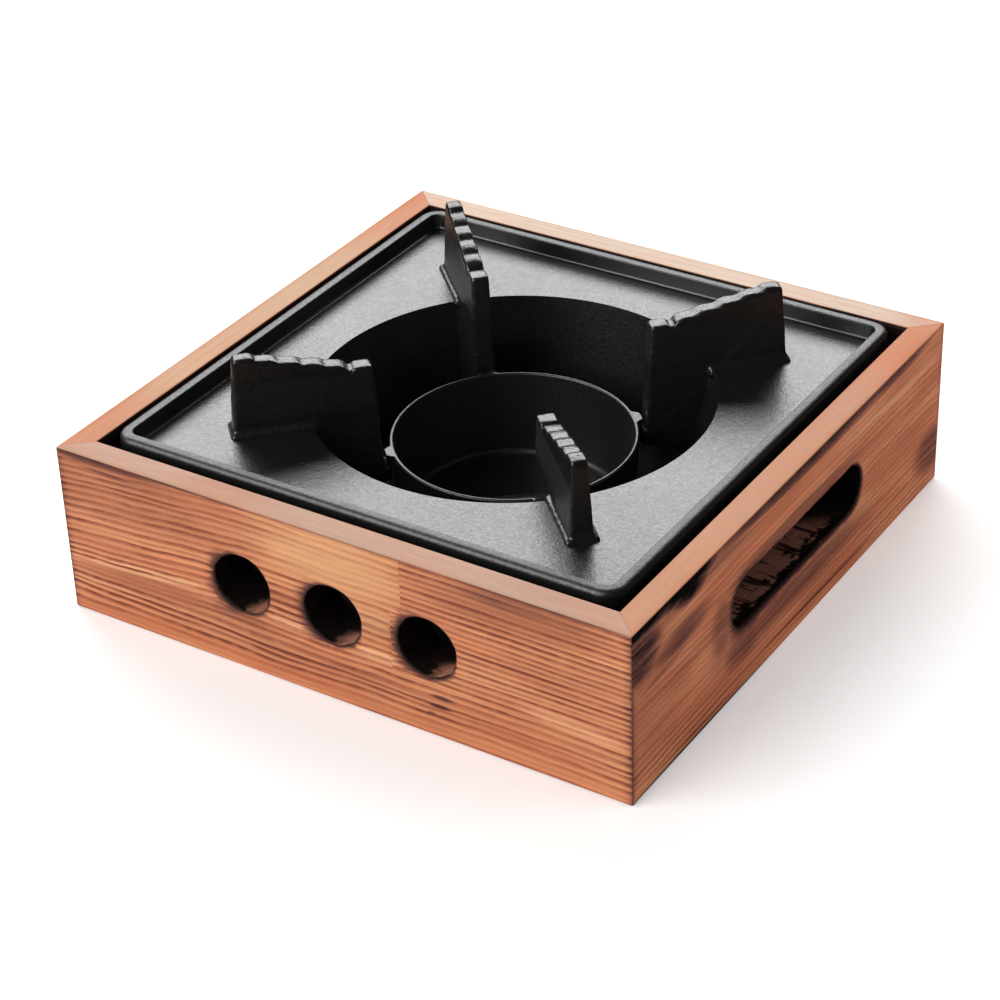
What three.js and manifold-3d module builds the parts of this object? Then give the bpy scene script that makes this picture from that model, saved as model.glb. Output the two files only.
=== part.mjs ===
// Warming stove: a mitred wooden box that carries a cast-iron tray with four stepped pot ribs.
// A fuel cup hangs in the middle of the tray by four lugs, on ledges at the inner feet of the ribs.
// Millimetres, +Z up, the front with its vent holes towards -Y, origin under the middle of the box.
import * as THREE from 'three';
import { mergeVertices } from 'three/addons/utils/BufferGeometryUtils.js';
import Module from 'manifold-3d';

const wasm = await Module();
wasm.setup();

// Box
const boxWidth = 190;
const boxDepth = 190;
const boxHeight = 55;
const boardThickness = 15;
const lipThickness = 8.5;
const mitreGap = 0.25;
const holeLineHeight = 29;

// Vent holes in the front and back boards
const ventCount = 3;
const ventDiameter = 19.5;
const ventSpacing = 31;

// Hand slots in the left and right boards
const slotLength = 80;
const slotHeight = 16;

// Bottom board and the blocks in the corners of the box
const bottomThickness = 4.5;
const blockWidth = 14;

// Wood screws, from below through the bottom board into the blocks
const screwLength = 21;
const screwShankDiameter = 3.2;
const screwHeadDiameter = 6.6;
const screwHeadHeight = 1.9;
const screwHeadSunk = 0.3;
const screwTipLength = 4;
const screwSlotLength = 3.8;
const screwSlotWidth = 0.9;
const screwSlotDepth = 1.2;

// Cast-iron tray
const trayGap = 2.7;
const trayProud = 1.5;
const trayCornerRadius = 5.6;
const rimWidth = 3.8;
const rimDepth = 4.9;
const rimRounding = 0.7;
const rimFootFillet = 1.1;
const plateThickness = 3.2;

// Well in the middle of the tray, a tapering skirt that is open below
const wellRadius = 60.6;
const wellEdgeRounding = 0.9;
const skirtFloorGap = 15.4;
const skirtDraft = 5.4;
const skirtThickness = 2.8;

// Pot ribs, measured upwards from the plate and outwards from the middle of the tray
const ribCount = 4;
const ribTopThickness = 4.7;
const ribFootThickness = 7.1;
const ribSeatHeight = 17;
const ribSeatLength = 5.8;
const ribSeatRounding = 0.7;
const notchWidth = 1.5;
const notchDepth = 0.9;
const stepCount = 4;
const stepPitch = 6.65;
const stepRise = 1.55;
const stepRun = 2.9;
const knobLength = 6.6;
const knobRise = 1.45;
const knobRun = 1.8;
const knobRounding = 0.9;
const ribEndDraft = 1.4;
const ribInnerDraft = 1.6;
const ribFootFillet = 0.9;

// Fuel cup and the lugs that it hangs by
const cupRadius = 37.3;
const cupDrop = 14;
const cupFloorGap = 3.7;
const cupDraft = 1.7;
const cupWall = 1.3;
const cupFloorThickness = 1.7;
const cupEdgeRounding = 2.2;
const lugReach = 2.1;
const lugWidth = 7.2;
const lugThickness = 3;
const lugRounding = 0.9;
const lugRootFlare = 1.3;

// Ledges that carry the lugs
const ledgeThickness = 4.6;
const ledgeClearance = 0.6;
const lugSideClearance = 0.5;
const ribToeDrop = 6.4;

// Clearances and cutting
const seatGap = 0.3;
const cutOverrun = 3;

// Smoothness of round shapes
const holeSegments = 32;
const wellSegments = 80;
const cupSegments = 60;
const screwSegments = 12;
const cornerSegments = 6;
const edgeSegments = 2;
const arcSegments = 3;

// Heights and lengths that follow from the sizes above
const innerWidth = boxWidth - 2 * boardThickness;
const innerDepth = boxDepth - 2 * boardThickness;
const trayWidth = boxWidth - 2 * (lipThickness + trayGap);
const trayDepth = boxDepth - 2 * (lipThickness + trayGap);
const rimTop = boxHeight + trayProud;
const plateTop = rimTop - rimDepth;
const trayUnderside = plateTop - plateThickness;
const shelfHeight = trayUnderside - seatGap;
const skirtHeight = trayUnderside - bottomThickness - skirtFloorGap;
const cupRimHeight = plateTop - cupDrop;
const cupHeight = cupRimHeight - bottomThickness - cupFloorGap;
const ledgeTop = -cupDrop - lugThickness - seatGap;
const ribFootInner = cupRadius + lugReach + lugSideClearance;
const ribTopInner = ribFootInner + ribInnerDraft;
const stepsStart = ribTopInner + ribSeatLength + notchWidth;
const knobStart = stepsStart + stepCount * stepPitch;
const ribTopOuter = knobStart + knobLength;
const ribFootOuter = ribTopOuter + ribEndDraft;
const knobHeight = ribSeatHeight + stepCount * stepRise + knobRise;

const quarterTurn = Math.PI / 2;

const cedar = new THREE.MeshStandardMaterial({ color: 0xcd8158, roughness: 0.62, metalness: 0 });
const cedarEdge = new THREE.MeshStandardMaterial({ color: 0xb56a48, roughness: 0.66, metalness: 0 });
const rawWood = new THREE.MeshStandardMaterial({ color: 0xd9b48c, roughness: 0.75, metalness: 0 });
const castIron = new THREE.MeshStandardMaterial({ color: 0x1d1e1f, roughness: 0.42, metalness: 0.55 });
const blackSteel = new THREE.MeshStandardMaterial({ color: 0x17181a, roughness: 0.38, metalness: 0.6 });
const zincSteel = new THREE.MeshStandardMaterial({ color: 0xb9bcc0, roughness: 0.3, metalness: 1 });

// A closed geometry as a solid that can be joined and cut
function solid(geometry) {
  const plain = geometry.index ? geometry.toNonIndexed() : geometry.clone();
  plain.deleteAttribute('normal');
  plain.deleteAttribute('uv');
  const merged = mergeVertices(plain, seatGap / 1000);
  const mesh = new wasm.Mesh({
    numProp: 3,
    vertProperties: new Float32Array(merged.attributes.position.array),
    triVerts: new Uint32Array(merged.index.array),
  });
  return new wasm.Manifold(mesh);
}

// A joined and cut solid as a geometry again
function geometryOf(body) {
  const mesh = body.getMesh();
  const geometry = new THREE.BufferGeometry();
  geometry.setAttribute('position', new THREE.BufferAttribute(new Float32Array(mesh.vertProperties), 3));
  geometry.setIndex(new THREE.BufferAttribute(new Uint32Array(mesh.triVerts), 1));
  const flat = geometry.toNonIndexed();
  flat.computeVertexNormals();
  return flat;
}

function part(name, body, material) {
  const mesh = new THREE.Mesh(geometryOf(body), material);
  mesh.name = name;
  return mesh;
}

// An outline in the XY plane, raised along Z from the height bottom
function raised(shape, bottom, height, curveSegments = cornerSegments) {
  const geometry = new THREE.ExtrudeGeometry(shape, { depth: height, bevelEnabled: false, curveSegments });
  return solid(geometry.translate(0, 0, bottom));
}

// An outline in the XY plane whose top and bottom edges are rounded, with its size kept
function raisedRounded(shape, bottom, height, rounding, segments) {
  const geometry = new THREE.ExtrudeGeometry(shape, {
    depth: height - 2 * rounding,
    bevelEnabled: true,
    bevelThickness: rounding,
    bevelSize: rounding,
    bevelOffset: -rounding,
    bevelSegments: segments,
    curveSegments: cornerSegments,
  });
  return solid(geometry.translate(0, 0, bottom + rounding));
}

// A profile of radius and height turned about Z, which starts and ends on the axis
function turned(profile, segments) {
  const points = profile.map(([radius, height]) => new THREE.Vector2(radius, height));
  return solid(new THREE.LatheGeometry(points, segments).rotateX(quarterTurn));
}

function polygon(points) {
  return new THREE.Shape(points.map(([x, y]) => new THREE.Vector2(x, y)));
}

function roundedRectangle(width, depth, radius) {
  const x = width / 2;
  const y = depth / 2;
  const shape = new THREE.Shape();
  shape.moveTo(-x + radius, -y);
  shape.lineTo(x - radius, -y);
  shape.absarc(x - radius, -y + radius, radius, -quarterTurn, 0, false);
  shape.lineTo(x, y - radius);
  shape.absarc(x - radius, y - radius, radius, 0, quarterTurn, false);
  shape.lineTo(-x + radius, y);
  shape.absarc(-x + radius, y - radius, radius, quarterTurn, 2 * quarterTurn, false);
  shape.lineTo(-x, -y + radius);
  shape.absarc(-x + radius, -y + radius, radius, 2 * quarterTurn, 3 * quarterTurn, false);
  return shape;
}

// Points on a quarter of an ellipse that starts upright and ends level
function quarterArc(startX, startY, runX, riseY) {
  const points = [];
  for (let i = 0; i <= arcSegments; i += 1) {
    const angle = (quarterTurn * i) / arcSegments;
    points.push([startX + runX * (1 - Math.cos(angle)), startY + riseY * Math.sin(angle)]);
  }
  return points;
}

// A board lies with its outer face towards -Y, at the distance reach from the middle of the box.
// Its top is cut back to a lip on the inside, which leaves a shelf all round for the tray.
function boardBlank(length, reach) {
  const outer = length / 2 - mitreGap * Math.SQRT1_2;
  const inner = outer - boardThickness;
  const plan = polygon([[-outer, -reach], [outer, -reach], [inner, boardThickness - reach],
    [-inner, boardThickness - reach]]);
  const lip = lipThickness - reach;
  const past = boardThickness + cutOverrun - reach;
  const cutBack = polygon([[-outer, lip], [outer, lip], [outer, past], [-outer, past]]);
  return raised(plan, 0, boxHeight).subtract(raised(cutBack, shelfHeight, boxHeight));
}

// A shape seen on the board's face, as a cutter that runs right through the board
function throughCutter(shape, reach, segments) {
  const depth = boardThickness + 2 * cutOverrun;
  const geometry = new THREE.ExtrudeGeometry(shape, { depth, bevelEnabled: false, curveSegments: segments });
  geometry.rotateX(quarterTurn);
  return solid(geometry.translate(0, boardThickness + cutOverrun - reach, holeLineHeight));
}

function ventCutters(reach) {
  const cutters = [];
  for (let i = 0; i < ventCount; i += 1) {
    const circle = new THREE.Shape();
    circle.absarc((i - (ventCount - 1) / 2) * ventSpacing, 0, ventDiameter / 2, 0, 4 * quarterTurn, false);
    cutters.push(throughCutter(circle, reach, holeSegments));
  }
  return cutters;
}

function slotCutter(reach) {
  const radius = slotHeight / 2;
  const straight = slotLength / 2 - radius;
  const shape = new THREE.Shape();
  shape.moveTo(-straight, -radius);
  shape.lineTo(straight, -radius);
  shape.absarc(straight, 0, radius, -quarterTurn, quarterTurn, false);
  shape.lineTo(-straight, radius);
  shape.absarc(-straight, 0, radius, quarterTurn, 3 * quarterTurn, false);
  return throughCutter(shape, reach, holeSegments / 2);
}

function ventedBoard(name) {
  let body = boardBlank(boxWidth, boxDepth / 2);
  for (const cutter of ventCutters(boxDepth / 2)) {
    body = body.subtract(cutter);
  }
  return part(name, body, cedar);
}

function slottedBoard(name) {
  const reach = boxWidth / 2;
  return part(name, boardBlank(boxDepth, reach).subtract(slotCutter(reach)), cedar);
}

// Screws stand with their heads down; the pocket is the screw's own shape with a clearance all round
function screwProfile(clearance) {
  const head = screwHeadDiameter / 2 + clearance;
  const shank = screwShankDiameter / 2 + clearance;
  const below = clearance > 0 ? -cutOverrun : screwHeadSunk;
  return [[0, below], [head, below], [head, screwHeadSunk], [shank, screwHeadSunk + screwHeadHeight],
    [shank, screwLength - screwTipLength + clearance], [0, screwLength + clearance]];
}

function screw(name) {
  const slotTop = screwHeadSunk + screwSlotDepth;
  let body = turned(screwProfile(0), screwSegments);
  for (const [x, y] of [[screwSlotLength, screwSlotWidth], [screwSlotWidth, screwSlotLength]]) {
    const slot = polygon([[-x / 2, -y / 2], [x / 2, -y / 2], [x / 2, y / 2], [-x / 2, y / 2]]);
    body = body.subtract(raised(slot, -cutOverrun, slotTop + cutOverrun));
  }
  return part(name, body, zincSteel);
}

const pocket = turned(screwProfile(seatGap), screwSegments);

// Middle of a corner block, for the corner in the direction of the two signs
function blockCentre(signX, signY) {
  const x = innerWidth / 2 - seatGap - blockWidth / 2;
  const y = innerDepth / 2 - seatGap - blockWidth / 2;
  return [signX * x, signY * y];
}

const corners = [
  { side: 'front_left', signX: -1, signY: -1 },
  { side: 'front_right', signX: 1, signY: -1 },
  { side: 'back_right', signX: 1, signY: 1 },
  { side: 'back_left', signX: -1, signY: 1 },
];

function bottomBoard() {
  const x = innerWidth / 2 - seatGap;
  const y = innerDepth / 2 - seatGap;
  let body = raised(polygon([[-x, -y], [x, -y], [x, y], [-x, y]]), 0, bottomThickness);
  for (const { signX, signY } of corners) {
    body = body.subtract(pocket.translate([...blockCentre(signX, signY), 0]));
  }
  return part('bottom_board', body, rawWood);
}

// The block is made about its own screw and stands on the bottom board, under the tray's corner
function cornerBlock(name) {
  const half = blockWidth / 2;
  const bottom = bottomThickness + seatGap;
  const outline = polygon([[-half, -half], [half, -half], [half, half], [-half, half]]);
  const body = raised(outline, bottom, shelfHeight - bottom).subtract(pocket);
  return part(name, body, cedarEdge);
}

// Radius of the well's inner wall at a height below the plate, which is a negative number
function wellRadiusAt(height) {
  return wellRadius + (skirtDraft * height) / skirtHeight;
}

// Side view of a rib: distance from the middle of the tray, and height above the plate
function ribOutline() {
  const points = [];
  const sunk = -plateThickness / 2;
  const toe = ledgeTop - ledgeThickness;
  const toeOuter = toe - ribToeDrop;
  points.push([ribFootOuter, sunk], [ribFootOuter, 0]);
  points.push([ribTopOuter, knobHeight - knobRounding], [ribTopOuter - knobRounding, knobHeight]);
  const rises = [{ start: knobStart, run: knobRun, from: knobHeight - knobRise, rise: knobRise }];
  for (let i = stepCount - 1; i >= 0; i -= 1) {
    const drop = i === 0 ? notchDepth : 0;
    const from = ribSeatHeight + i * stepRise - drop;
    rises.push({ start: stepsStart + i * stepPitch, run: stepRun, from, rise: stepRise + drop });
  }
  for (const { start, run, from, rise } of rises) {
    points.push(...quarterArc(start, from, run, rise).reverse());
  }
  points.push([stepsStart - notchWidth, ribSeatHeight - notchDepth], [stepsStart - notchWidth, ribSeatHeight]);
  points.push([ribTopInner + ribSeatRounding, ribSeatHeight], [ribTopInner, ribSeatHeight - ribSeatRounding]);
  points.push([ribFootInner, ledgeTop], [cupRadius + ledgeClearance, ledgeTop]);
  points.push([cupRadius + ledgeClearance, toe]);
  points.push([wellRadiusAt(toeOuter) + skirtThickness / 2, toeOuter]);
  points.push([wellRadiusAt(sunk) + skirtThickness / 2, sunk]);
  return polygon(points);
}

// A rib along +X: its side view, thinned from the foot to the top, on a small sloped foot
function rib() {
  const height = knobHeight + cutOverrun;
  const top = ribTopThickness / 2;
  const foot = ribFootThickness / 2;
  const slope = (foot - top) / knobHeight;
  const lowest = ledgeTop - ledgeThickness - ribToeDrop - cutOverrun;
  const side = new THREE.ExtrudeGeometry(ribOutline(), { depth: ribFootThickness, bevelEnabled: false });
  side.translate(0, 0, -foot).rotateX(quarterTurn);
  const narrow = top - slope * cutOverrun;
  const section = polygon([[-foot, lowest], [foot, lowest], [foot, 0], [narrow, height], [-narrow, height],
    [-foot, 0]]);
  const taper = new THREE.ExtrudeGeometry(section, { depth: ribFootOuter + cutOverrun, bevelEnabled: false });
  taper.rotateX(quarterTurn).rotateZ(quarterTurn);
  const footLength = ribFootOuter - wellRadius + ribFootFillet;
  const footShape = roundedRectangle(footLength, ribFootThickness + 2 * ribFootFillet, 2 * ribFootFillet);
  const flare = new THREE.ExtrudeGeometry(footShape, {
    depth: plateThickness / 2,
    bevelEnabled: true,
    bevelThickness: ribFootFillet,
    bevelSize: ribFootFillet,
    bevelOffset: -ribFootFillet,
    bevelSegments: 1,
    curveSegments: edgeSegments,
  });
  flare.translate(wellRadius + footLength / 2, 0, -plateThickness / 2);
  return solid(side).intersect(solid(taper)).add(solid(flare));
}

// The tray is made about a point on the plate's top face, over the middle of the well
function ironTray() {
  const recess = roundedRectangle(trayWidth - 2 * rimWidth, trayDepth - 2 * rimWidth, trayCornerRadius - rimWidth / 2);
  const outside = roundedRectangle(trayWidth, trayDepth, trayCornerRadius);
  const skirtTop = -plateThickness / 2;
  const skirtBottom = -plateThickness - skirtHeight;
  const wellOver = wellRadius + wellEdgeRounding;
  const slab = raisedRounded(outside, -plateThickness, plateThickness + rimDepth, rimRounding, edgeSegments);
  const hollow = raisedRounded(recess, 0, rimDepth + 2 * rimFootFillet + cutOverrun, rimFootFillet, edgeSegments);
  const skirt = turned([[0, skirtBottom], [wellRadiusAt(skirtBottom) + skirtThickness, skirtBottom],
    [wellRadiusAt(skirtTop) + skirtThickness, skirtTop], [0, skirtTop]], wellSegments);
  const well = turned([[0, skirtBottom - cutOverrun],
    [wellRadiusAt(skirtBottom - cutOverrun), skirtBottom - cutOverrun],
    [wellRadiusAt(-wellEdgeRounding), -wellEdgeRounding], [wellOver, 0],
    [wellOver, cutOverrun], [0, cutOverrun]], wellSegments);
  let body = slab.subtract(hollow).add(skirt).subtract(well);
  const oneRib = rib();
  for (let i = 0; i < ribCount; i += 1) {
    body = body.add(oneRib.rotate([0, 0, (i + 0.5) * (360 / ribCount)]));
  }
  return part('iron_tray', body, castIron);
}

// The cup is made about the middle of its underside, with its lugs level with its rim
function fuelCup() {
  const footRadius = cupRadius - cupDraft;
  const cutBack = cupWall / 3;
  const outerEdge = quarterArc(0, 0, cupEdgeRounding, cupEdgeRounding)
    .map(([x, y]) => [footRadius - cupEdgeRounding + y, x]);
  const innerEdge = outerEdge.map(([x, y]) => [x - cupWall, y + cupFloorThickness]).reverse();
  const wall = [[cupRadius, cupHeight - cutBack], [cupRadius - cutBack, cupHeight],
    [cupRadius - cupWall + cutBack, cupHeight], [cupRadius - cupWall, cupHeight - cutBack]];
  let body = turned([[0, 0], ...outerEdge, ...wall, ...innerEdge, [0, cupFloorThickness]], cupSegments);
  const root = cupRadius - cupWall / 2;
  const tip = cupRadius + lugReach;
  const half = lugWidth / 2;
  const lug = polygon([[root, -half - lugRootFlare], [cupRadius, -half - lugRootFlare / 2],
    [cupRadius + lugRounding, -half], [tip - lugRounding, -half], [tip, -half + lugRounding],
    [tip, half - lugRounding], [tip - lugRounding, half], [cupRadius + lugRounding, half],
    [cupRadius, half + lugRootFlare / 2], [root, half + lugRootFlare]]);
  const oneLug = raised(lug, cupHeight - lugThickness, lugThickness);
  for (let i = 0; i < ribCount; i += 1) {
    body = body.add(oneLug.rotate([0, 0, (i + 0.5) * (360 / ribCount)]));
  }
  return part('fuel_cup', body, blackSteel);
}

const stove = new THREE.Group();

const box = new THREE.Group();
const boards = [ventedBoard('front_board'), slottedBoard('right_board'), ventedBoard('back_board'),
  slottedBoard('left_board')];
boards.forEach((board, i) => {
  board.rotation.z = i * quarterTurn;
  box.add(board);
});
box.add(bottomBoard());
for (const { side, signX, signY } of corners) {
  const [x, y] = blockCentre(signX, signY);
  const block = cornerBlock(`corner_block_${side}`);
  const fixing = screw(`bottom_screw_${side}`);
  block.position.set(x, y, 0);
  fixing.position.set(x, y, 0);
  box.add(block, fixing);
}
stove.add(box);

const tray = ironTray();
tray.position.z = plateTop;
stove.add(tray);

const cup = fuelCup();
cup.position.z = cupRimHeight - cupHeight;
stove.add(cup);

export default stove;
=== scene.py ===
import math
from functools import partialmethod

import bmesh
import bpy
from mathutils import Matrix, Vector


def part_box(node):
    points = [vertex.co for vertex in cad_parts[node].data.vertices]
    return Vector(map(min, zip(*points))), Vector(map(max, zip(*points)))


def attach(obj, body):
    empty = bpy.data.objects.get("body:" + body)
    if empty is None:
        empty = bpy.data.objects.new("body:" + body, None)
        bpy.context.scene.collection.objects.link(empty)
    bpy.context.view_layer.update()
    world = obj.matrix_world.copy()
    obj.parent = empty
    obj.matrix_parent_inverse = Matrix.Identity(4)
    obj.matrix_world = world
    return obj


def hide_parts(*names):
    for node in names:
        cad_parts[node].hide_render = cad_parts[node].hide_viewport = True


bl_info = {
    "name": "Warming Stove",
    "version": (1, 0, 0),
    "blender": (4, 5, 0),
    "location": "View3D > Sidebar > Stove",
    "description": "Dresses a tabletop warming stove: cedar box, iron tray, fuel cup and studio",
    "category": "Object",
}

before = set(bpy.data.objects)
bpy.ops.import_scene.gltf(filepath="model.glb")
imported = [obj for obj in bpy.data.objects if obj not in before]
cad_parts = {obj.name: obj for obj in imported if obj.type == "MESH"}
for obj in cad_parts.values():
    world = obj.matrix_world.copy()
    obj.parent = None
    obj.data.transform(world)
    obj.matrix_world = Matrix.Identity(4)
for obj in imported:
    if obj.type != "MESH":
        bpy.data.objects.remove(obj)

MM = 0.001
NEAR = 0.01 * MM
FULL_TURN = 2 * math.pi
QUARTER_TURN = math.pi / 2
SIDES = ("front", "right", "back", "left")
CORNERS = ("front_right", "back_right", "back_left", "front_left")

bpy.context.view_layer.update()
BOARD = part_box("front_board")
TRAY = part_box("iron_tray")
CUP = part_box("fuel_cup")
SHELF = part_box("corner_block_front_left")[1][2]


# Values that the sidebar shows


def length(name, description, default):
    """A length property, with its default given in millimetres."""
    return bpy.props.FloatProperty(
        name=name, description=description, default=default * MM, min=0, precision=5, unit="LENGTH"
    )


def amount(name, description, default):
    """A property that is a plain number."""
    return bpy.props.FloatProperty(name=name, description=description, default=default, min=0)


def colour(name, description, red, green, blue):
    """A colour property, with its default given as the eye sees it, from 0 to 255."""
    return bpy.props.FloatVectorProperty(
        name=name,
        description=description,
        subtype="COLOR",
        min=0,
        max=1,
        default=eye_colour(red, green, blue),
    )


def linear(part):
    """One part of a screen colour as a share of light."""
    return part / 12.92 if part <= 0.04045 else ((part + 0.055) / 1.055) ** 2.4


def eye_colour(*parts):
    """A colour given as the eye sees it, from 0 to 255."""
    return [linear(part / 255) for part in parts]


class StoveBoxSettings(bpy.types.PropertyGroup):
    """Sizes and colours of the wooden box."""

    thickness: length("Board thickness", "How thick the four side boards are", 15)
    lip: length("Lip thickness", "How thick a board is above the tray's shelf", 8.5)
    edge: length("Eased edge", "Rounding of the boards' long edges", 0.5)
    joint: length("Mitre joint", "Gap that shows between two boards at a corner", 0.08)
    vent: length("Vent diameter", "Diameter of each round vent", 19.1)
    vent_pitch: length("Vent spacing", "Distance between the middles of two vents", 31)
    slot_length: length("Slot length", "Length of a hand slot", 80)
    slot_height: length("Slot height", "Height of a hand slot", 16)
    opening_height: length("Opening height", "Height of the middle of the vents and slots", 29)
    rim: length("Opening rim", "Rounding of the burnt rims of the openings", 0.35)
    wander: length("Cut wander", "How far a burnt opening strays from its true outline", 0.35)
    pale: colour("Pale grain", "Soft wood between two year rings", 214, 145, 100)
    golden: colour("Golden grain", "Lightest staves of the boards", 211, 155, 108)
    flame: colour("Flame grain", "Light tongues in the grain", 230, 168, 122)
    red: colour("Red grain", "Warm middle tone of the toasted wood", 190, 104, 66)
    toasted: colour("Toasted grain", "Soft brown where the torch passed close by", 148, 79, 52)
    dark: colour("Dark grain", "Hard dark line of a year ring", 128, 64, 43)
    orange: colour("Warm top", "Orange tinge on the tops of the boards", 190, 114, 72)
    # Bare wall and Slot wall are the colours given where a wall of an opening gets painted light
    lit_vent_wall: colour("Bare wall", "Bare wood on the wall of a vent", 176, 122, 98)
    lit_slot_wall: colour("Slot wall", "Smoked wall inside a hand slot", 122, 80, 68)
    brown: colour("Browned wood", "Wood that the torch has only browned", 90, 46, 40)
    # Sooty wood also serves as painted shade inside the box and deep in the openings
    soot_and_shade: colour("Sooty wood", "Reddish black of the box's inside", 46, 24, 19)
    char: colour("Charred wood", "Wood that the torch has burnt black", 15, 10, 10)


class StoveIronSettings(bpy.types.PropertyGroup):
    """Sizes and colours of the iron tray, its ribs and the fuel cup."""

    corner: length("Tray corner", "Radius of the tray's outer corners", 6.6)
    rim: length("Rim width", "Width of the raised rim", 3.8)
    rim_round: length("Rim rounding", "Rounding of the rim's outer edge", 1.8)
    rim_inside: length("Inner rounding", "Rounding of the rim's inner edge", 0.4)
    foot_round: length("Rim foot", "Fillet where the rim meets the plate", 0.9)
    plate: length("Plate thickness", "How thick the flat of the tray is", 3.2)
    well: length("Well radius", "Radius of the round opening", 60.6)
    well_round: length("Well rounding", "Rounding of the well's edge", 1.0)
    skirt: length("Skirt thickness", "Wall of the skirt under the well", 2.8)
    draft: length("Skirt draft", "How much narrower the skirt is at its foot", 6.0)
    grain: length("Rib mesh size", "Fineness of the cast ribs' mesh", 0.42)
    wall: length("Cup wall", "How thick the cup's wall is", 1.3)
    iron: colour("Iron", "Black coating of the cast iron", 21, 22, 22)
    steel: colour("Cup", "Black coating of the fuel cup", 17, 17, 18)
    worn: colour("Worn coating", "Darker clouds in the black coatings", 14, 15, 15)
    zinc: colour("Zinc", "Plating of the screws", 190, 193, 198)
    blued: colour("Blued zinc", "Bluish clouds in the plating", 160, 164, 173)


class StoveStudioSettings(bpy.types.PropertyGroup):
    """Strengths of the lights and colours of the floor."""

    window: amount("Back light", "Watts of the soft light behind", 33)
    key: amount("Key light", "Watts of the soft light in front", 26)
    fill: amount("Fill light", "Watts of the weak light at the right", 6)
    room: amount("Room light", "Strength of the even light all round", 0.36)
    glow: amount("Floor glow", "How much the lit table shines", 0.22)
    floor: colour("Floor", "Plain pale floor", 250, 250, 250)
    shade: colour("Floor shade", "Faint wide clouds in the floor", 231, 231, 231)


# Modelling by hand


def deselect():
    """Leaves nothing selected, because an operator acts on all that is."""
    bpy.ops.object.select_all(action="DESELECT")


def take(piece):
    """Makes a piece the one that the next operators act on."""
    deselect()
    piece.select_set(True)
    bpy.context.view_layer.objects.active = piece
    return piece


def settle(name):
    """Names the new piece and puts its place into its mesh."""
    piece = bpy.context.object
    piece.name = name
    piece.data.name = name
    bpy.ops.object.transform_apply()
    return piece


def block(name, low, high):
    """A block between two corners."""
    low, high = Vector(low), Vector(high)
    deselect()
    bpy.ops.mesh.primitive_cube_add(size=1, location=(low + high) / 2, scale=high - low)
    return settle(name)


def rod(name, radius, depth, place, sides, turn=(0, 0, 0), top=None):
    """A round bar, or a cone if its top has another radius."""
    deselect()
    bpy.ops.mesh.primitive_cone_add(
        vertices=sides,
        radius1=radius,
        radius2=radius if top is None else top,
        depth=depth,
        location=place,
        rotation=turn,
    )
    return settle(name)


class Bench:
    """Edit mode on one piece."""

    def __init__(self, piece):
        self.piece = piece

    def __enter__(self):
        take(self.piece)
        bpy.ops.object.mode_set(mode="EDIT")
        bpy.ops.mesh.select_mode(type="VERT")
        bpy.ops.mesh.select_all(action="DESELECT")
        return self

    def __exit__(self, *error):
        bpy.ops.object.mode_set(mode="OBJECT")

    def choose(self, kind, test):
        """Selects the vertices, edges or faces that pass a test."""
        bpy.ops.mesh.select_mode(type={"verts": "VERT", "edges": "EDGE", "faces": "FACE"}[kind])
        bpy.ops.mesh.select_all(action="DESELECT")
        mesh = bmesh.from_edit_mesh(self.piece.data)
        for item in getattr(mesh, kind):
            if test(item):
                item.select_set(True)
        mesh.select_flush_mode()
        bmesh.update_edit_mesh(self.piece.data)

    def everything(self):
        bpy.ops.mesh.select_all(action="SELECT")

    def bevel(self, offset, segments):
        bpy.ops.mesh.bevel(offset=offset, segments=segments, clamp_overlap=True)

    def extrude(self, *step):
        bpy.ops.mesh.extrude_region_move(TRANSFORM_OT_translate={"value": step})

    def outwards(self):
        self.everything()
        bpy.ops.mesh.normals_make_consistent(inside=False)


def middle(edge):
    return (edge.verts[0].co + edge.verts[1].co) / 2


def is_sharp(edge, angle=0.8):
    return len(edge.link_faces) == 2 and edge.calc_face_angle(0) > angle


def is_upright(edge):
    return abs(edge.verts[0].co.z - edge.verts[1].co.z) > MM


def faces_up(face):
    return face.normal.z > 0.9


def outline(name, points):
    """A flat face drawn vertex by vertex."""
    points = [Vector(point) for point in points]
    deselect()
    bpy.ops.mesh.primitive_plane_add(size=MM, location=points[0])
    piece = settle(name)
    with Bench(piece) as bench:
        bench.everything()
        bpy.ops.mesh.merge(type="CENTER")
        for before, after in zip(points, points[1:]):
            bpy.ops.mesh.extrude_vertices_move(TRANSFORM_OT_translate={"value": after - before})
        bench.everything()
    return piece


def slab(name, points, step):
    """An outline filled and pulled out into a solid."""
    piece = outline(name, points)
    with Bench(piece) as bench:
        bench.everything()
        bpy.ops.mesh.edge_face_add()
        bench.everything()
        bench.extrude(*step)
        bench.outwards()
    return piece


def finish_with(piece, kind, **settings):
    """Adds a modifier and applies it."""
    take(piece)
    modifier = piece.modifiers.new(kind.title(), kind)
    for name, value in settings.items():
        setattr(modifier, name, value)
    bpy.ops.object.modifier_apply(modifier=modifier.name)


def cut(piece, tool, operation="DIFFERENCE"):
    """Cuts a piece with a tool, or joins the two, and removes the tool."""
    finish_with(piece, "BOOLEAN", object=tool, operation=operation, solver="MANIFOLD")
    bpy.data.objects.remove(tool)


def turn_round(piece, angle):
    """Turns a piece about the middle of the stove."""
    take(piece)
    piece.rotation_euler.z = angle
    bpy.ops.object.transform_apply()


def copy_of(piece, name):
    """A copy with a mesh of its own."""
    twin = piece.copy()
    twin.data = piece.data.copy()
    twin.name = twin.data.name = name
    bpy.context.collection.objects.link(twin)
    return twin


def join(piece, *others):
    """Makes several pieces one, under the first one's name."""
    take(piece)
    for other in others:
        other.select_set(True)
    bpy.ops.object.join()


def smooth(piece, angle=35):
    """Rounds the shading over soft edges and keeps flat faces flat."""
    take(piece)
    bpy.ops.object.shade_smooth_by_angle(angle=math.radians(angle))
    finish_with(piece, "WEIGHTED_NORMAL", keep_sharp=True, weight=100)


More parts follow.
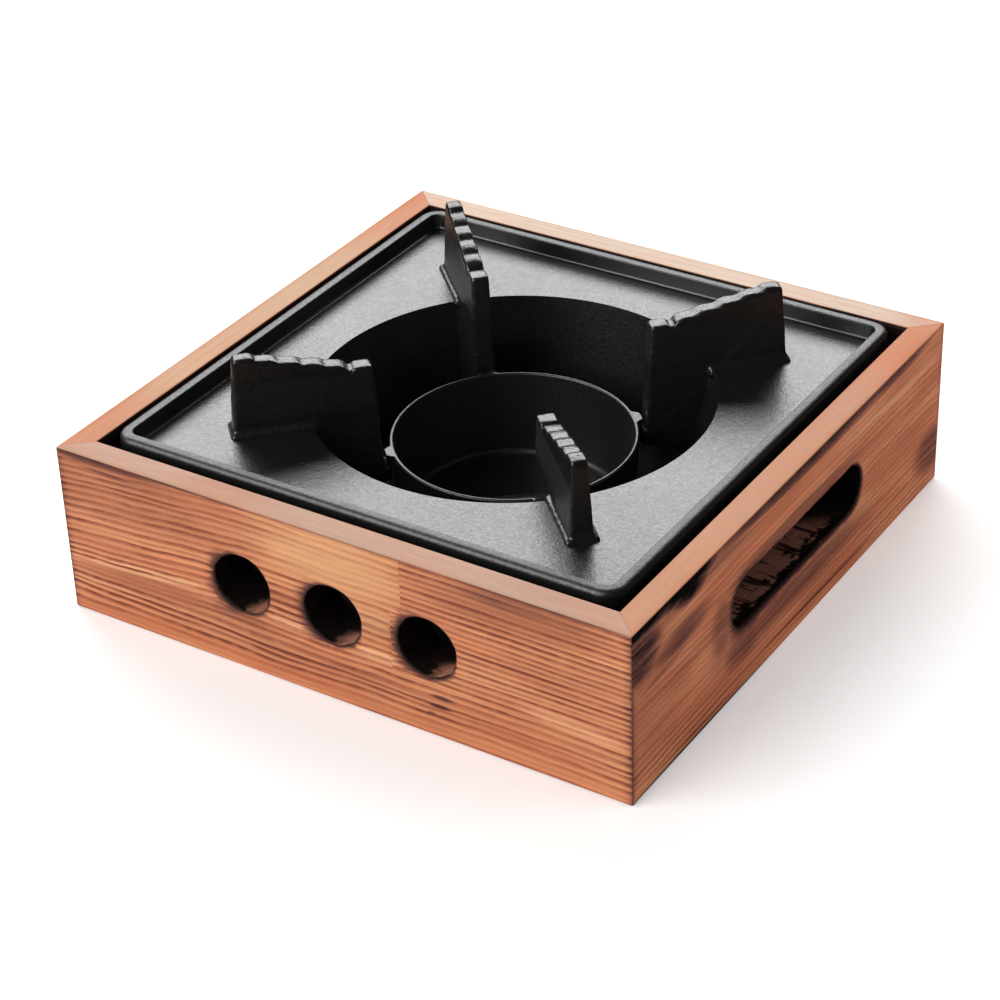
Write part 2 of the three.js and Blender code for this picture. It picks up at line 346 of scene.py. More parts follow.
def dress(piece, material, body, slot, *nodes):
    """Gives a finished piece its material and its body, and hides the nodes that it stands for."""
    piece.data.materials.clear()
    piece.data.materials.append(material)
    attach(piece, body)
    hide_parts(*nodes)


# Materials written as sums


class Value:
    """A number that varies over a surface, which can be used in sums."""

    def __init__(self, paint, socket):
        self.paint = paint
        self.socket = socket

    def maths(self, operation, *others):
        sockets = dict(enumerate((self, *others)))
        return self.paint.node("ShaderNodeMath", {"operation": operation}, sockets)

    def __rsub__(self, other):
        return self.paint.node("ShaderNodeMath", {"operation": "SUBTRACT"}, {0: other, 1: self})

    def __neg__(self):
        return self * -1.0

    def part(self):
        """What is left after the whole number."""
        return self.maths("FRACT")

    __add__ = __radd__ = partialmethod(maths, "ADD")
    __mul__ = __rmul__ = partialmethod(maths, "MULTIPLY")
    __sub__ = partialmethod(maths, "SUBTRACT")
    __truediv__ = partialmethod(maths, "DIVIDE")
    floor = partialmethod(maths, "FLOOR")
    size = partialmethod(maths, "ABSOLUTE")
    root = partialmethod(maths, "SQRT")
    most = partialmethod(maths, "MAXIMUM")
    least = partialmethod(maths, "MINIMUM")
    over = partialmethod(maths, "GREATER_THAN")

    def rise(self, low, high):
        """Goes softly from 0 at the first value to 1 at the second."""
        return self.paint.node(
            "ShaderNodeMapRange", {"interpolation_type": "SMOOTHSTEP"}, {0: self, 1: low, 2: high}
        )

    def fall(self, low, high):
        """Goes softly from 1 at the first value to 0 at the second."""
        return 1 - self.rise(low, high)


class Paint:
    """The nodes of one material."""

    def __init__(self, name):
        self.material = bpy.data.materials.new(name)
        self.material.use_nodes = True
        self.tree = self.material.node_tree
        self.tree.nodes.clear()

    def node(self, kind, settings=None, inputs=None, output=0):
        """Adds a node, with its settings first and then the values or links of its sockets."""
        node = self.tree.nodes.new(kind)
        for name, value in (settings or {}).items():
            setattr(node, name, value)
        for name, value in (inputs or {}).items():
            if isinstance(value, Value):
                self.tree.links.new(value.socket, node.inputs[name])
            else:
                node.inputs[name].default_value = value
        return Value(self, node.outputs[output]) if node.outputs else None

    def place(self):
        """The three coordinates on the piece, in millimetres."""
        point = self.node("ShaderNodeTexCoord", output="Object")
        split = self.node("ShaderNodeSeparateXYZ", inputs={0: point}).socket.node
        return [Value(self, split.outputs[i]) / MM for i in range(3)]

    def spot(self, *parts):
        return self.node("ShaderNodeCombineXYZ", inputs=dict(enumerate(parts)))

    def noise(self, parts, detail=2.0, roughness=0.5, distortion=0.0):
        """Soft cloudy noise, about 0.5, with one cloud to each unit of its coordinates."""
        return self.node(
            "ShaderNodeTexNoise",
            {"noise_dimensions": "3D"},
            {
                "Vector": self.spot(*parts),
                "Scale": 1.0,
                "Detail": detail,
                "Roughness": roughness,
                "Distortion": distortion,
            },
        )

    def specks(self, size, **settings):
        """Noise with round clouds of this size in millimetres."""
        return self.noise([part / size for part in self.place()], **settings)

    def chance(self, value):
        """A steady random number for each whole number."""
        return self.node("ShaderNodeTexWhiteNoise", {"noise_dimensions": "1D"}, {"W": value})

    def mix(self, factor, first, second, blend="MIX"):
        """One colour over another, each picked or varying."""
        first, second = (v if isinstance(v, Value) else (*v, 1.0) for v in (first, second))
        return self.node(
            "ShaderNodeMix",
            {"data_type": "RGBA", "blend_type": blend, "clamp_factor": True},
            {0: factor, 6: first, 7: second},
            output=2,
        )

    def grey(self, value):
        return self.node("ShaderNodeCombineColor", inputs={0: value, 1: value, 2: value})

    def surface(self, base, roughness, height=None, relief=0.0, **settings):
        """Joins the shader: colour, roughness, height in millimetres and fixed settings."""
        inputs = {"Base Color": base, "Roughness": roughness}
        if height is not None:
            bump = {"Strength": 1.0, "Distance": relief * MM, "Height": height}
            inputs["Normal"] = self.node("ShaderNodeBump", inputs=bump)
        inputs.update({name.replace("_", " "): value for name, value in settings.items()})
        shader = self.node("ShaderNodeBsdfPrincipled", inputs=inputs)
        self.node("ShaderNodeOutputMaterial", inputs={"Surface": shader})
        return self.material


def blob(u, w, centre_u, centre_w, reach_u, reach_w, strength, slope=0.0):
    """A soft patch that has its full strength in its middle and none at its reach."""
    du = u - centre_u
    dw = w - centre_w - du * slope
    du, dw = du / reach_u, dw / reach_w
    return (du * du + dw * dw).fall(0.0, 1.0) * strength


def board_place(paint, turn):
    """Millimetres along a board, in from its outer face and up, seen from outside."""
    x, y, z = paint.place()
    along = (x, y, -x, -y)[turn]
    depth = (y, -x, -y, x)[turn] - BOARD[0][1] / MM
    return along, depth, z


# Marks of each board. A patch is its middle along the board and up, its reach along and up in
# millimetres, its strength, and its slope if it has one. A glue line is its place and the heights
# it runs between, and a warm stretch of the top is its middle, its reach and its strength.
LOOKS = {
    "front": {
        "seed": 3, "pitch": 2.25, "fine_pitch": 1.85, "wave": 1.5, "tilt": 0.35, "rings": 1.15,
        "lean": 0.07, "banding": 0.12, "red": 0.6, "corner": 0.8,
        "top": (179, 146, 125),
        "warm_top": [(-40, 22, 0.25)],
        "glue": [(23.2, 37, 60), (19.3, 17, 37)],
        "golden": [(0, 47, 34, 14, 1), (9, 32, 20, 8, 0.8)],
        "light": [
            (-66, 21, 27, 2, 1, 0.11), (-14, 20.8, 12, 1.8, 0.9), (14, 20.6, 10, 2.6, 0.7),
            (76, 19.5, 26, 4, 0.5, -0.05), (-10, 24.5, 9, 1.3, 0.6),
        ],
        "calm": [
            (-70, 16.6, 36, 3.2, 1, 0.02), (0, 2.4, 190, 4.6, 0.8), (74, 19.5, 30, 4.5, 0.6, -0.05),
            (0, 46, 30, 11, 0.5), (68, 8, 38, 7, 0.6),
        ],
        "bold": [
            (-40, 10.6, 84, 4.8, 0.75), (-22, 27.5, 26, 8, 0.8), (16, 27.5, 16, 8, 0.4),
            (66, 36, 44, 18, 0.45), (-74, 42, 40, 14, 0.35),
        ],
        "toasted": [
            (-78, 47, 56, 17, 0.68, -0.03), (-56, 44, 22, 9, 0.6), (-40, 46, 24, 12, 0.4),
            (-64, 16.4, 42, 4.2, 0.85, 0.02), (-36, 16, 24, 5, 0.55), (-84, 32, 26, 12, 0.3),
            (-20, 29, 22, 3.2, 0.5), (16, 29, 12, 3.2, 0.2), (56, 49, 40, 10, 0.7),
            (34, 43, 16, 14, 0.2), (78, 34, 30, 10, 0.25), (-10, 11, 74, 5, 0.35),
            (60, 9, 30, 3, 0.2, -0.08),
        ],
        "brown": [
            (-76, 51, 13, 1, 0.6, -0.02), (-34, 17.6, 12, 2, 0.4, -0.03), (62, 52, 26, 3, 0.35),
        ],
        "burnt": [
            (-82, 56, 40, 4.2, 0.75, -0.01), (-60, 55.7, 60, 2.1, 0.85), (0, 55.6, 200, 1.3, 0.75),
            (66, 55.6, 50, 1.9, 0.75), (35.5, 13.6, 5.2, 1, 0.62, 0.02),
            (34.5, 10.4, 4.8, 1, 0.7, 0.02), (31.6, 7.3, 2.2, 0.8, 0.5),
        ],
    },
    "right": {
        "seed": 11, "pitch": 2.15, "fine_pitch": 2, "wave": 1.6, "tilt": 0.25, "rings": 0.22,
        "lean": 0, "banding": 0.26, "red": 0.95, "corner": 0.85,
        "top": (185, 135, 103),
        "warm_top": [(80, 50, 1)],
        "glue": [],
        "golden": [],
        "light": [(62, 45.6, 44, 1.3, 0.7, -0.02)],
        "calm": [(-22, 44, 54, 6, 0.7, 0.02), (70, 28, 40, 14, 0.5)],
        "bold": [
            (-72, 7.5, 44, 5.5, 0.85, -0.05), (20, 4, 84, 2.6, 0.6, -0.01),
            (-66, 30, 34, 5, 0.3, 0.04),
        ],
        "toasted": [
            # The patches at -100 and -88 along are painted shade that darkens the near end
            (0, 28, 240, 70, 0.44), (-100, 30, 62, 44, 0.8), (-4, 14, 64, 8, 0.95),
            (-32, 15, 18, 9, 0.9), (-47, 26, 12, 16, 0.8), (0, 40, 60, 4.4, 0.8),
            (54, 38, 44, 2.6, 0.5), (-70, 36, 26, 8, 0.6, 0.1), (88, 14, 18, 12, 0.9),
            (-88, 46, 16, 14, 0.6), (20, 53, 90, 4, 0.7), (48, 20, 22, 6, 0.3),
        ],
        "brown": [
            (-69, 39.5, 20, 5.5, 0.62, 0.06), (-78, 34, 14, 1.2, 0.4, 0.06), (-33, 15, 15, 8, 0.6),
            (2, 15.4, 62, 6.5, 0.5), (0, 39.4, 54, 3.4, 0.42), (-46, 28, 7, 13, 0.45),
            # The patch at -91 along is painted shade at the near end under the top
            (90, 13, 14, 10, 0.55), (-91, 47, 15, 14, 0.95), (-30, 37.5, 18, 4.6, 0.6),
            (-60, 52, 50, 6, 0.35),
        ],
        "burnt": [
            (-66, 55.6, 24, 7.2, 1.15), (-64, 51.8, 13, 5.6, 0.95), (-88, 55.6, 28, 5.6, 1.1),
            (4, 55.2, 84, 5.2, 0.78), (60, 54.8, 34, 4.2, 0.62), (-62, 0, 60, 1.5, 1),
            (-60, 2.6, 34, 0.5, 0.6, -0.02), (14, 4.4, 48, 0.6, 0.7, -0.02),
        ],
    },
    "back": {
        "seed": 23, "pitch": 2.2, "fine_pitch": 1.75, "wave": 1.7, "tilt": 0.32, "rings": 1.1,
        "lean": -0.05, "banding": 0.12, "red": 0.6, "corner": 0.8,
        "top": (206, 191, 172),
        "warm_top": [(-90, 14, 0.45), (88, 20, 0.35)],
        "glue": [(-18, 19, 60), (-26, -4, 19)],
        "golden": [(-44, 40, 30, 14, 0.9), (30, 16, 36, 9, 0.6)],
        "light": [(50, 22, 26, 2.2, 0.9, 0.05)],
        "calm": [(46, 17, 30, 3.6, 0.9, 0.03), (0, 3.4, 190, 5, 0.7)],
        "bold": [(20, 9.6, 80, 4.6, 0.8), (0, 28, 44, 7, 0.7)],
        "toasted": [
            (66, 46, 50, 14, 0.8, 0.02), (-80, 24, 34, 12, 0.5), (0, 50, 40, 7, 0.5),
            (40, 15, 40, 4, 0.5),
        ],
        "brown": [(-72, 51, 24, 3.4, 0.7), (62, 47, 28, 4, 0.4), (74, 14, 20, 5, 0.35)],
        "burnt": [
            (-70, 55.6, 50, 2.6, 1.3), (0, 55.6, 200, 1.3, 0.95), (80, 55.6, 30, 2.4, 1.1),
            (-31, 10, 5, 0.9, 1.2), (60, 0, 40, 1.3, 0.8),
        ],
    },
    "left": {
        "seed": 37, "pitch": 2.1, "fine_pitch": 1.95, "wave": 1.8, "tilt": 0.25, "rings": 0.34,
        "lean": 0.03, "banding": 0.2, "red": 0.85, "corner": 0.85,
        "top": (191, 154, 121),
        "warm_top": [(-84, 50, 0.85), (84, 46, 0.85)],
        "glue": [],
        "golden": [(30, 46, 50, 5, 0.5, -0.05), (-60, 18, 40, 14, 0.3)],
        "light": [(30, 46, 44, 3.2, 0.4, -0.05)],
        "calm": [(30, 46, 46, 5, 0.6, -0.05), (-60, 28, 40, 12, 0.4)],
        "bold": [(60, 8, 50, 6, 0.8, 0.04), (-20, 5, 80, 3, 0.5)],
        "toasted": [
            (0, 14, 64, 7, 0.8), (47, 26, 12, 16, 0.7), (0, 40, 60, 4.4, 0.7),
            (72, 36, 28, 9, 0.6, -0.1), (-86, 16, 20, 14, 0.6),
        ],
        "brown": [(70, 39.5, 18, 4.6, 0.7, -0.12), (34, 15, 14, 5, 0.4), (-88, 14, 12, 9, 0.4)],
        "burnt": [
            (66, 55.6, 26, 5.6, 1.5), (-10, 56, 80, 3, 1), (-80, 55.6, 34, 2.2, 0.9),
            (40, 0, 50, 1.4, 0.9),
        ],
    },
}


def openings(side, wood):
    """Each opening of a board: its middle along the board, half its straight run and its radius."""
    if side in ("front", "back"):
        return [(step * wood.vent_pitch, 0.0, wood.vent / 2) for step in (-1, 0, 1)]
    radius = wood.slot_height / 2
    return [(0.0, wood.slot_length / 2 - radius, radius)]


# How far the scorch round a mouth reaches in millimetres, and how much farther left and below
VENT_SCORCH, SLOT_SCORCH = 0.6, 2.4
SCORCH_LEFT, SCORCH_LOW = 5.0, 2.2


class Burn:
    """Round a board's openings: burnt mouths outside, their walls, and a painted patch of light on
    each wall.
    """

    def __init__(self, side, wood, u, v, w, ragged):
        self.wall = self.mouth = self.lit_bare = None
        for middle_u, run, radius in openings(side, wood):
            du = u - middle_u / MM
            dw = w - wood.opening_height / MM
            past = (du.size() - run / MM).most(0.0)
            away = (past * past + dw * dw).root() - radius / MM
            left = (-du / (run + radius) * MM).rise(0.0, 1.0)
            low = (-dw / radius * MM).rise(0.0, 0.9)
            reach = left * SCORCH_LEFT + low * SCORCH_LOW + (SLOT_SCORCH if run else VENT_SCORCH)
            mouth = (away / (reach * (ragged * 1.9 - 0.25).most(0.15))).fall(-0.25, 1.0)
            wall = away.fall(0.7, 0.9) * v.rise(0.2, 0.5)
            if run == 0:
                # A vent's wall gets a painted patch of light low on its right, near the mouth
                toward = (du * 0.8 - dw * 0.62) / radius * MM
                lit_bare = (toward + ragged * 0.6).rise(0.8, 1.2) * (v + ragged * 6.0).fall(7.0, 13.0)
            else:
                # A slot's lower wall past its burnt lip, and its left end, get painted light; its
                # right end and upper wall stay dark as painted shade
                band = (v - (ragged - 0.38) * 18.0).rise(1.0, 2.6)
                lit_bare = band * (du + v * 0.9).fall(24.0, 36.0) * dw.fall(-2.0, 2.0)
                end = (-du / (run + radius) * MM).rise(0.86, 0.93)
                lit_bare = lit_bare.most(end * v.rise(1.0, 2.0) * 0.8)
            self.mouth = mouth if self.mouth is None else self.mouth.most(mouth)
            self.wall = wall if self.wall is None else self.wall.most(wall)
            self.lit_bare = lit_bare * wall if self.lit_bare is None else self.lit_bare.most(lit_bare * wall)


# Grain of the cedar: how far it jumps past a glue line and from board to board, how many rings
# it skips there, how far the rings sway slowly and quickly, and how much they crowd
STAVE_JUMP, BOARD_JUMP, STAVE_RINGS = 340.0, 53.0, 17.0
SLOW_SWAY, QUICK_SWAY, CROWDING = 2.4, 1.7, 1.1


def cedar(side, wood):
    """Brushed and scorched cedar, with year rings, staves and burnt edges."""
    look = LOOKS[side]
    paint = Paint(f"cedar_{side}")
    u, v, w = board_place(paint, SIDES.index(side))
    seed = look["seed"]
    top = BOARD[1][2] / MM
    half = BOARD[1][0] / MM

    def patches(name):
        total = 0.0 * u
        for patch in look[name]:
            total = total.most(blob(u, w, *patch))
        return total

    # The glue line between two staves steps to and fro with the height
    stave = 0.0 * u
    for edge, low, high in look["glue"]:
        stave = stave.most((u - edge).over(0.0) * w.over(low) * (high - w).over(0.0))

    def clouds(along, into, up, **settings):
        """Noise that follows the grain, with its clouds' lengths in millimetres."""
        return paint.noise((shift / along, v / into, w / up), **settings)

    # Year rings wander, crowd together, and fade and return along the board
    shift = u + stave * STAVE_JUMP + seed * BOARD_JUMP
    slow = clouds(85, 30, 26, detail=1.0) - 0.5
    quick = clouds(22, 12, 7) - 0.5
    lean = (u + 30).least(0.0) * w.rise(10.0, 24.0) * (1 - stave) * look["lean"]
    sway = slow * look["wave"] * SLOW_SWAY + quick * QUICK_SWAY
    level = w - lean + v * look["tilt"] + (1 - stave * 0.6) * sway
    pitch = look["pitch"] + stave * (look["fine_pitch"] - look["pitch"])
    crowd = paint.noise((seed, stave * 9.0, level / 7), detail=1.0)
    ring = level / pitch + crowd * CROWDING + seed
    share, number = ring.part(), ring.floor() + stave * STAVE_RINGS
    weight = paint.chance(number)
    along = paint.noise((shift / 34, seed, number * 0.7), detail=1.0).rise(0.3, 0.66)
    broken = paint.noise((shift / 5, v / 3, number * 1.9), roughness=0.6).rise(0.3, 0.62)
    calm = patches("calm")
    golden = patches("golden") * (1 - stave)
    depth = (look["rings"] + patches("bold") * 0.8) * (1 - calm * 0.85) * (1 - golden * 0.5)
    late = share.rise(0.2, 0.74) * share.fall(0.8, 1.0)
    late = late * (0.4 + weight * 0.6) * (0.45 + along * 0.7) * (0.6 + broken * 0.45) * depth

    cloud = clouds(46, 20, 10).rise(0.3, 0.7)
    band = clouds(70, 5, 2.4, roughness=0.6) - 0.5
    streak = clouds(22, 1.2, 0.7, detail=3.0, roughness=0.62) - 0.5
    fibre = clouds(5, 0.3, 0.26, detail=1.0) - 0.5
    red = (share.rise(0.0, 0.7) * (0.2 + weight * 0.5) + cloud * 0.5) * look["red"] * 1.3
    red = (red + calm * 0.3) * (1 - golden * 0.75)

    tone = paint.mix(golden, wood.pale, wood.golden)
    tone = paint.mix(red, tone, wood.red)
    light = patches("light").rise(0.12, 0.6) * (0.7 + streak)
    tone = paint.mix(light, tone, wood.flame)
    # Toasted patches; at the right board's near end they are partly painted shade
    toasted = patches("toasted") * (0.62 + band * 0.9 + cloud * 0.3)
    tone = paint.mix(toasted, tone, wood.toasted)
    tone = paint.mix(late, tone, wood.dark)
    lightness = 0.97 + streak * 0.5 + fibre * 0.16 + band * look["banding"] * 3.0
    tone = paint.mix(1.0, tone, paint.grey(lightness), blend="MULTIPLY")

    # The torch browns the wood in patches, drawn out along the grain; at the right board's near end
    # some patches are painted shade
    ragged = clouds(6, 2.4, 0.9, detail=3.0, roughness=0.6)
    drawn = clouds(40, 6, 1.6, detail=3.0, roughness=0.6).rise(0.3, 0.72)
    torch = clouds(46, 30, 14)
    outside = v.fall(1.0, 2.5)
    burn = patches("brown") * (0.45 + drawn * 0.65) * (0.6 + torch * 0.8)
    marks = patches("burnt") * (0.55 + ragged * 0.9)

    # The corners are burnt where the dark rings run out
    end = half - u.size()
    corner = (end - ragged * 1.5).fall(-0.6, 0.6) * 0.5
    corner = corner.most(end.fall(0.0, 3.2) * (0.2 + late * 0.75)) * look["corner"]

    mouths = Burn(side, wood, u, v, w, ragged)
    scorch = burn.most(marks).most(corner) * outside
    scorch = scorch.most(mouths.mouth * outside * (1 - mouths.wall))
    tone = paint.mix((scorch * 1.6).least(0.92), tone, wood.brown)
    tone = paint.mix(scorch.rise(0.55, 1.0), tone, wood.char)

    # The openings' walls are char with painted shade, and unburnt wood where a painted patch of
    # light falls
    cracks = paint.noise((u / 1.6, v / 16, w / 16), detail=3.0, roughness=0.65)
    if side in ("front", "back"):
        lit_bare = paint.mix(cracks.rise(0.42, 0.66) * 0.5, wood.lit_vent_wall, wood.toasted)
    else:
        lit_bare = paint.mix(cracks.rise(0.52, 0.6), wood.lit_slot_wall, wood.soot_and_shade)
    char_and_shade = paint.mix(drawn * 0.35, wood.char, wood.soot_and_shade)
    tone = paint.mix(mouths.wall, tone, paint.mix(mouths.lit_bare, char_and_shade, lit_bare))

    # The inner face, the shelf under the tray and the lip above it get painted shade in char and
    # sooty colours
    thickness, lip = wood.thickness / MM, wood.lip / MM
    inner = v.rise(thickness - 0.5, thickness - 0.1)
    over_shelf = w.rise(SHELF / MM - 0.3, SHELF / MM - 0.1)
    inner = inner.most(v.rise(lip - 0.3, lip) * over_shelf)
    tone = paint.mix(inner, tone, paint.mix(drawn, wood.char, wood.soot_and_shade))

    # The saw-cut top face is paler and shows little of the rings;
    # part of its greyish paleness is a painted sheen
    sawn_sheen = w.rise(top - 0.3, top - 0.12) * v.fall(lip - 0.45, lip - 0.2)
    lines = paint.noise((shift / 40, v / 0.8, 0.5), detail=3.0, roughness=0.6).rise(0.3, 0.75)
    warm = 0.0 * u
    for centre_u, reach_u, strength in look["warm_top"]:
        warm = warm.most(((u - centre_u) / reach_u).size().fall(0.0, 1.0) * strength)
    # A board's top colour holds a painted sheen as well as the wood's own colour
    flat = eye_colour(*look["top"])
    flat = paint.mix(warm * (0.7 + cloud * 0.5), flat, wood.orange)
    flat = paint.mix(lines * 0.3 + cloud * 0.12, flat, wood.red)
    flat = paint.mix(1.0, flat, paint.grey(1.02 + fibre * 0.2 + streak * 0.2), blend="MULTIPLY")
    tone = paint.mix(sawn_sheen, tone, flat)

    height = fibre * 0.3 + streak * 0.5 + late * 0.7 + mouths.wall * (cracks + ragged) * 2.0
    rough = 0.6 + streak * 0.14 + scorch * 0.15 - late * 0.08
    return paint.surface(tone, rough, height, relief=0.2, Specular_IOR_Level=0.35)


def plain_rings(paint, level, fibre_place):
    """Year rings across a plain piece, and its fibre."""
    share = level.part()
    late = share.rise(0.2, 0.85) * share.fall(0.88, 1.0)
    return late, paint.noise(fibre_place, roughness=0.6)


def dark_topped_bottom(wood):
    """The bottom board: plain wood underneath and black over its top face."""
    paint = Paint("bottom_wood")
    x, y, z = paint.place()
    wave = paint.noise((x / 60, y / 22, z / 22)) - 0.5
    late, fibre = plain_rings(paint, (y + z * 0.4 + wave * 9.0) / 3.4, (x / 8, y / 0.4, z / 0.4))
    patch = paint.specks(16, detail=3.0)
    tone = paint.mix(late * 0.45, wood.pale, wood.dark)
    soot_and_shade = paint.mix(patch.rise(0.4, 0.65) * 0.7, wood.char, wood.soot_and_shade)
    tone = paint.mix(z.rise(1.0, 3.5), tone, soot_and_shade)
    tone = paint.mix(1.0, tone, paint.grey(0.82 + fibre * 0.36), blend="MULTIPLY")
    return paint.surface(tone, 0.7 + fibre * 0.15, fibre * 0.4 - late * 0.2, relief=0.15)


def shaded_block(wood):
    """Upright grain of a corner block in dark brown, with painted shade that blackens it towards
    its top.
    """
    paint = Paint("block_wood")
    x, y, z = paint.place()
    wave = paint.noise((x / 22, y / 22, z / 60)) - 0.5
    late, fibre = plain_rings(paint, (x + y * 0.5 + wave * 9.0) / 2.6, (x / 0.4, y / 0.4, z / 9))
    tone = paint.mix(late * 0.6, wood.brown, wood.char)
    # Painted shade: the block turns to char towards its top, inside the box's shadow
    tone = paint.mix(z.rise(20.0, 44.0) * 0.85, tone, wood.char)
    tone = paint.mix(1.0, tone, paint.grey(0.8 + fibre * 0.4), blend="MULTIPLY")
    return paint.surface(tone, 0.72 + fibre * 0.15, fibre * 0.4 - late * 0.2, relief=0.15)


def cast_iron(name, coating, worn, roughness, relief):
    """Black coated metal with the fine orange-peel surface of a casting."""
    paint = Paint(name)
    peel = paint.specks(0.8, roughness=0.6)
    swell = paint.specks(2.6)
    cloud = paint.specks(26)
    tone = paint.mix(cloud.rise(0.3, 0.7) * 0.6, coating, worn)
    up = paint.place()[2] - plate_height() / MM
    flank = up.rise(1.0, 7.0) * up.fall(15.0, 16.5)
    rough = roughness + flank * 0.16 + (cloud - 0.5) * 0.06 + (peel - 0.5) * 0.3
    return paint.surface(tone, rough, peel + swell * 0.8, relief=relief, IOR=1.8)


def zinc_plate(iron):
    """Bright zinc plating with a faint bluish cloud."""
    paint = Paint("zinc_plate")
    cloud = paint.specks(1.4, detail=3.0)
    tone = paint.mix(cloud.rise(0.3, 0.7) * 0.4, iron.zinc, iron.blued)
    return paint.surface(tone, 0.24 + cloud * 0.2, cloud, relief=0.02, Metallic=1.0)


# The wooden box


CUT_SIDES = 112
# Waves round a burnt opening: how many to a turn, and the share of the wander that each takes
WAVES = ((3, 0.45), (7, 0.3), (13, 0.2), (29, 0.16))


def wobble(tool, centre, wander, seed):
    """Lets a cutter's round wall stray a little, as a burnt hole does."""
    for vertex in tool.data.vertices:
        dx, dz = vertex.co.x - centre[0], vertex.co.z - centre[1]
        angle = math.atan2(dz, dx)
        stray = sum(share * math.sin(angle * n + seed * (n + 1.3)) for n, share in WAVES)
        scale = 1 + stray * wander / math.hypot(dx, dz)
        vertex.co.x = centre[0] + dx * scale
        vertex.co.z = centre[1] + dz * scale


def stretch(tool, centre, run):
    """Pulls a round cutter out into a slot."""
    if run == 0:
        return
    for sign in (-1, 1):
        with Bench(tool) as bench:
            bench.choose("verts", lambda vertex: (vertex.co.x - centre) * sign > NEAR)
            bpy.ops.transform.translate(value=(sign * run, 0, 0))


def side_board(side, wood):
    """One mitred board with a shelf for the tray, eased edges and burnt openings."""
    low, high = BOARD[0][2], BOARD[1][2]
    reach = -BOARD[0][1]
    face, lip, back = -reach, wood.lip - reach, wood.thickness - reach
    profile = [(face, low), (back, low), (back, SHELF), (lip, SHELF), (lip, high), (face, high)]
    board = slab(f"cedar_board_{side}", [(-reach, y, z) for y, z in profile], (2 * reach, 0, 0))
    with Bench(board) as bench:
        bench.choose("edges", is_sharp)
        bench.bevel(wood.edge, 3)
        for sign in (-1, 1):
            bench.everything()
            bpy.ops.mesh.bisect(
                plane_co=(sign * (reach - wood.joint), -reach, 0),
                plane_no=(sign, 1, 0),
                use_fill=True,
                clear_outer=True,
            )
    turn = SIDES.index(side)
    for place, run, radius in openings(side, wood):
        depth, spot = wood.thickness * 3, (place, -reach, wood.opening_height)
        tool = rod("cutter", radius, depth, spot, CUT_SIDES, (QUARTER_TURN, 0, 0))
        wobble(tool, (place, wood.opening_height), wood.wander, place / MM + turn * 5)
        stretch(tool, place, run)
        cut(board, tool)

    def on_rim(edge):
        if not is_sharp(edge):
            return False
        point = middle(edge)
        if min(abs(point.y + reach), abs(point.y + reach - wood.thickness)) > NEAR:
            return False
        return abs(point.z - wood.opening_height) < max(wood.vent, wood.slot_height) * 0.6

    with Bench(board) as bench:
        bench.choose("edges", on_rim)
        bench.bevel(wood.rim, 3)
    turn_round(board, turn * QUARTER_TURN)
    smooth(board)
    return board


class STOVE_OT_boards(bpy.types.Operator):
    """Model the four mitred cedar boards of the box"""

    bl_idname = "stove.boards"
    bl_label = "Side Boards"

    def execute(self, context):
        wood = context.scene.stove_box
        for side in SIDES:
            board = side_board(side, wood)
            dress(board, cedar(side, wood), "box", "cedar", f"{side}_board")
        return {"FINISHED"}


class STOVE_OT_inside(bpy.types.Operator):
    """Give the bottom board and the corner blocks their wood"""

    bl_idname = "stove.inside"
    bl_label = "Bottom and Blocks"

    def execute(self, context):
        wood = context.scene.stove_box
        bottom = dark_topped_bottom(wood)
        blocks = shaded_block(wood)
        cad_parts["bottom_board"].material_slots[0].material = bottom
        for corner in CORNERS:
            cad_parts[f"corner_block_{corner}"].material_slots[0].material = blocks
        return {"FINISHED"}


class STOVE_OT_screws(bpy.types.Operator):
    """Model the four countersunk screws under the bottom board"""

    bl_idname = "stove.screws"
    bl_label = "Bottom Screws"

    def execute(self, context):
        plating = zinc_plate(context.scene.stove_iron)
        first = wood_screw("screw_master", f"bottom_screw_{CORNERS[0]}")
        for corner in CORNERS:
            node = f"bottom_screw_{corner}"
            low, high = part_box(node)
            screw = copy_of(first, f"screw_{corner}")
            take(screw)
            screw.location = ((low[0] + high[0]) / 2, (low[1] + high[1]) / 2, 0)
            bpy.ops.object.transform_apply()
            dress(screw, plating, "box", "zinc", node)
        bpy.data.objects.remove(first)
        return {"FINISHED"}


# A screw's head, thread, point and cross recess
SCREW_RIM = 0.12 * MM
SCREW_HEAD = 1.9 * MM
SHANK_SHARE, THREAD_ROOT, POINT_SHARE = 0.48, 0.78, 0.7
THREAD_START, THREAD_PITCH = 0.6 * MM, 1.2 * MM
THREAD_LOW, THREAD_HIGH = 0.3 * MM, 0.8 * MM
THREAD_END, SCREW_POINT = 4.2 * MM, 3.2 * MM
RECESS = (3.8 * MM, 0.9 * MM, 2.4 * MM)
SCREW_SIDES = 40


def wood_screw(name, node):
    """A turned screw with a cross recess, as large and as high up as a node."""
    low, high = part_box(node)
    head = (high[0] - low[0]) / 2
    shank = head * SHANK_SHARE
    base, tip = low[2], high[2]
    neck = base + SCREW_HEAD
    profile = [(0, base), (head - SCREW_RIM, base), (head, base + SCREW_RIM), (shank, neck)]
    height = neck + THREAD_START
    while height < tip - THREAD_END:
        profile += [(shank * THREAD_ROOT, height + THREAD_LOW), (shank, height + THREAD_HIGH)]
        height += THREAD_PITCH
    profile += [(shank * POINT_SHARE, tip - SCREW_POINT), (0, tip)]
    screw = turned(name, profile, SCREW_SIDES)
    long, wide, deep = RECESS
    for arm in ((long, wide, deep), (wide, long, deep)):
        size = Vector(arm) / 2
        cut(screw, block("recess", Vector((0, 0, base)) - size, Vector((0, 0, base)) + size))
    smooth(screw)
    return screw


